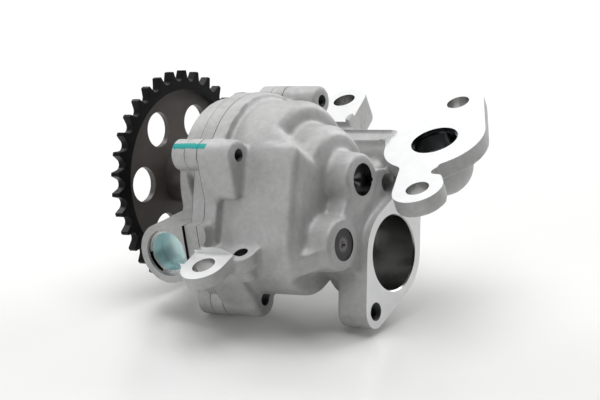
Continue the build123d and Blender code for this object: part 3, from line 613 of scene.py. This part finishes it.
# The teeth and the rim are hardened and stay deep black, the web is browner, duller and more worn
black = new_material("Black oxide steel")
place = add(black, "ShaderNodeTexCoord").outputs["Object"]
mottle = add(black, "ShaderNodeTexNoise", {"Vector": place, "Scale": grain(4.55), "Detail": 4.0})
flat = add(black, "ShaderNodeVectorMath", {0: place, 1: YZ_ONLY}, operation="MULTIPLY")
from_axle = add(black, "ShaderNodeVectorMath", {0: flat, 1: mm(0.0, *DRIVE)}, operation="DISTANCE")
rim = add(black, "ShaderNodeMapRange", {
    "Value": from_axle, "From Min": (RIM_INNER_R - 0.1) * 0.001, "From Max": (RIM_INNER_R + 0.1) * 0.001})
web_greys = {"Factor": mottle, "A": linear("#4C4744"), "B": linear("#5C5754")}
web_tone = add(black, "ShaderNodeMix", web_greys, data_type="RGBA")
rim_greys = {"Factor": mottle, "A": linear("#121213"), "B": linear("#202021")}
rim_tone = add(black, "ShaderNodeMix", rim_greys, data_type="RGBA")
tone = add(black, "ShaderNodeMix", {"Factor": rim, "A": web_tone, "B": rim_tone}, data_type="RGBA")
sheen = add(black, "ShaderNodeMapRange", {"Value": rim, "To Min": 0.3, "To Max": 0.9})
gloss = add(black, "ShaderNodeMapRange", {"Value": mottle, "To Min": 0.36, "To Max": 0.46})
finish_surface(black, tone, sheen, gloss, mottle, 0.08, 0.1)
wheel = merged_copy("sprocket", "chain_wheel", black)
bpy.ops.object.mode_set(mode="EDIT")
bpy.ops.mesh.select_all(action="SELECT")
bpy.ops.mesh.dissolve_limited(angle_limit=math.radians(0.3))
bpy.ops.object.mode_set(mode="OBJECT")
sharp = math.radians(40)
apply(wheel, "BEVEL", width=EDGE_BREAK * 0.001, segments=2, limit_method="ANGLE", angle_limit=sharp)
finish_piece(wheel, "drive", "black_oxide_steel", "sprocket")


# Shafts, gears and keys.
# Case-hardened steel, ground where it runs; the shaft ends are left dark from the furnace, with centre
# holes from the lathe. The gears are keyed on their shafts.
def give(node_name, material):
    """Puts a material in every slot of a CAD node."""
    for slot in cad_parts[node_name].material_slots:
        slot.material = material


# The furnace leaves a dark skin with a sheen, and the lathe's centre shows lighter in it
CENTRE_R = 1.6
CENTRE_FADE = 2.2
shaft_steel = new_material("Hardened steel, furnace dark")
place = add(shaft_steel, "ShaderNodeTexCoord").outputs["Object"]
stain = add(shaft_steel, "ShaderNodeTexNoise", {"Vector": place, "Scale": grain(3.33), "Detail": 3.0})
flat = add(shaft_steel, "ShaderNodeVectorMath", {0: place, 1: YZ_ONLY}, operation="MULTIPLY")
furnace_greys = {"Factor": stain, "A": linear("#333234"), "B": linear("#4B494B")}
colour = add(shaft_steel, "ShaderNodeMix", furnace_greys, data_type="RGBA")
for axle in (DRIVE, IDLER):
    off = add(shaft_steel, "ShaderNodeVectorMath", {0: flat, 1: mm(0.0, *axle)}, operation="DISTANCE")
    core = near(shaft_steel, off, 0.0, CENTRE_R, CENTRE_FADE)
    lighter = {"Factor": core, "A": colour, "B": linear("#6E6B6C")}
    colour = add(shaft_steel, "ShaderNodeMix", lighter, data_type="RGBA")
finish_surface(shaft_steel, colour, 0.9, 0.34, stain, 0.1, 0.1)
for node in ("drive_shaft", "idler_shaft", "drive_gear", "driven_gear", "drive_key", "driven_key"):
    give(node, shaft_steel)
give("relief_piston", shaft_steel)


# Fasteners and small turned pieces.
# Zinc-plated socket screws and ground dowels hold the castings; a tin bronze bush carries the chain's pull,
# and a phosphated hex bolt with its washer clamps the sprocket.
def plain_metal(name, low, high, roughness):
    """Turned or rolled metal, even to the eye, with faint stains of three millimetres."""
    metal = new_material(name)
    place = add(metal, "ShaderNodeTexCoord").outputs["Object"]
    stain = add(metal, "ShaderNodeTexNoise", {"Vector": place, "Scale": grain(3.33), "Detail": 3.0})
    tones = {"Factor": stain, "A": linear(low), "B": linear(high)}
    colour = add(metal, "ShaderNodeMix", tones, data_type="RGBA")
    return finish_surface(metal, colour, 1.0, roughness, stain, 0.06, 0.1)


# Zinc is a soft silver grey, phosphate a dull near black that hardly shines, and bronze a warm brown gold
zinc_plate = plain_metal("Zinc plated steel", "#8E9091", "#A8AAAB", 0.38)
phosphate = plain_metal("Phosphated steel", "#2C2C2D", "#424243", 0.5)
for node in ("cover_bolts", "dowel_pins", "gallery_plug", "thrust_washer"):
    give(node, zinc_plate)
for node in ("sprocket_bolt", "sprocket_washer", "relief_spring"):
    give(node, phosphate)
give("front_bush", plain_metal("Tin bronze", "#8C6A3F", "#A98452", 0.32))

# Relief valve cup and its circlip.
# Pressed steel spring seat, zinc plated with a blue-green passivation, with a painted highlight as a
# near-white band on its rim, held in the bore by an open ring of rolled spring steel.
give("relief_circlip", plain_metal("Rolled spring steel", "#9A9C9E", "#BCBEC0", 0.28))
CUP_RIM_DEPTH = 2.4
passivated = new_material("Blue-green passivated zinc")
place = add(passivated, "ShaderNodeTexCoord").outputs["Object"]
haze = add(passivated, "ShaderNodeTexNoise", {"Vector": place, "Scale": grain(8.33), "Detail": 3.0})
depth = add(passivated, "ShaderNodeVectorMath", {0: place, 1: VALVE_LINE}, operation="DOT_PRODUCT")
# A near-white band round the cup's rim is a painted highlight
rim_highlight_band = near(passivated, depth, VALVE_LEVEL + CUP_RIM_DEPTH, 0.25, 0.25)
teals = {"Factor": haze, "A": linear("#B4D6D9"), "B": linear("#D6EBEB")}
teal = add(passivated, "ShaderNodeMix", teals, data_type="RGBA")
rim_highlight_mix = {"Factor": rim_highlight_band, "A": teal, "B": linear("#E4E6E6")}
colour = add(passivated, "ShaderNodeMix", rim_highlight_mix, data_type="RGBA")
finish_surface(passivated, colour, 0.6, 0.26, haze, 0.1, 0.1)
give("relief_cup", passivated)

# Photographic set: the pump lies on its sprocket, its front screw boss and its inlet lug,
# on a glossy white table under a large soft light. Distances here are in metres.
UP = mathutils.Vector((0.185, 0.288, 0.94)).normalized()
TABLE_LEVEL = -0.07074
TABLE_SIZE = 6.0
LIT_FROM = 0.45
LIT_FULLY = 1.0
BACKDROP_GLOW = 1.05
ROOM_GLOW = 0.01
WHITE = (1.0, 1.0, 1.0, 1.0)
table_turn = UP.to_track_quat("Z", "Y").to_euler()
bpy.ops.object.select_all(action="DESELECT")
bpy.ops.mesh.primitive_plane_add(size=TABLE_SIZE, location=UP * TABLE_LEVEL, rotation=table_turn)
table = bpy.context.object
table.name = "white_table"
# A smooth lacquered top, which mirrors the pump faintly and blurred
gloss_white = new_material("Glossy white table top")
surface = add(gloss_white, "ShaderNodeBsdfPrincipled", {"Base Color": linear("#E9E9E8"), "Roughness": 0.3})
# Far from the pump the table runs into a lit white backdrop, which only the camera sees
place = add(gloss_white, "ShaderNodeTexCoord").outputs["Object"]
away = add(gloss_white, "ShaderNodeVectorMath", {0: place}, operation="LENGTH")
lit = {"Value": away, "From Min": LIT_FROM, "From Max": LIT_FULLY}
far = add(gloss_white, "ShaderNodeMapRange", lit, interpolation_type="SMOOTHSTEP")
seen = add(gloss_white, "ShaderNodeLightPath").outputs["Is Camera Ray"]
share = add(gloss_white, "ShaderNodeMath", {0: far, 1: seen}, operation="MULTIPLY")
backdrop = add(gloss_white, "ShaderNodeEmission", {"Color": WHITE, "Strength": BACKDROP_GLOW})
blend = add(gloss_white, "ShaderNodeMixShader", {0: share, 1: surface, 2: backdrop})
add(gloss_white, "ShaderNodeOutputMaterial", {"Surface": blend})
table.data.materials.append(gloss_white)

# Soft lights round the pump, placed as the photographer sees them
CAMERA_PLACE = mm(472.0568, -643.64, 398.7207)
MIDDLE = mm(-50.0, -35.0, 0.0)
TOWARD = (CAMERA_PLACE - MIDDLE).normalized()
RIGHT = UP.cross(TOWARD).normalized()
BEHIND = UP.cross(RIGHT).normalized()
# Each light: its steps to the right, behind and above, its size, and its power in watts
LIGHTS = {
    "overhead": ((0.0, 0.0, 1.0), 0.9, 9.54),
    "back_high": ((0.0, 0.8, 0.7), 0.7, 1.91),
    "back_left": ((-0.7, 0.7, 0.5), 0.6, 5.29),
    "back_right": ((0.7, 0.7, 0.5), 0.6, 6.4),
    "far_back": ((0.0, 1.5, 0.4), 1.2, 0.78),
    "left_low": ((-1.0, -0.1, 0.25), 0.5, 1.05),
    "right_low": ((1.0, -0.1, 0.25), 0.5, 0.98),
    "front_left": ((-0.7, -0.7, 0.35), 0.5, 2.24),
}
for name, ((aside, behind, above), size, power) in LIGHTS.items():
    lamp = bpy.data.lights.new(name + "_softbox", "AREA")
    lamp.shape = "SQUARE"
    lamp.size = size
    lamp.energy = power
    softbox = bpy.data.objects.new(name + "_softbox", lamp)
    bpy.context.scene.collection.objects.link(softbox)
    softbox.location = MIDDLE + RIGHT * aside + BEHIND * behind + UP * above
    softbox.rotation_euler = (MIDDLE - softbox.location).to_track_quat("-Z", "Y").to_euler()

# The camera sees a white studio behind the table, and the pump gets only a little light from it
studio = bpy.data.worlds.new("studio")
bpy.context.scene.world = studio
studio.use_nodes = True
studio.node_tree.nodes.clear()
room = add(studio, "ShaderNodeBackground", {"Strength": ROOM_GLOW})
white = add(studio, "ShaderNodeBackground", {"Color": WHITE, "Strength": BACKDROP_GLOW})
seen = add(studio, "ShaderNodeLightPath").outputs["Is Camera Ray"]
choose = add(studio, "ShaderNodeMixShader", {0: seen, 1: room, 2: white})
add(studio, "ShaderNodeOutputWorld", {"Surface": choose})

# Camera at the photograph's place: a long lens from 0.9 m, looking at the outlet side and the casing,
# held with the roll that the lying pump needs.
CAMERA_LENS = 132.0
CAMERA_TURN = math.radians(40.5226)
CAMERA_RISE = math.radians(26.9077)
CAMERA_ROLL = math.radians(-19.4895)
lens = bpy.data.cameras.new("photo_view")
lens.lens = CAMERA_LENS
lens.sensor_width = 36.0
lens.clip_start = 0.05
lens.clip_end = 20.0
camera = bpy.data.objects.new("photo_view", lens)
bpy.context.scene.collection.objects.link(camera)
away = mathutils.Vector((math.sin(CAMERA_TURN), -math.cos(CAMERA_TURN), math.tan(CAMERA_RISE)))
look = away.to_track_quat("Z", "Y").to_matrix().to_4x4()
roll = mathutils.Matrix.Rotation(CAMERA_ROLL, 4, "Z")
camera.matrix_world = mathutils.Matrix.Translation(CAMERA_PLACE) @ look @ roll
bpy.context.scene.camera = camera
bpy.context.scene.view_settings.view_transform = "Standard"
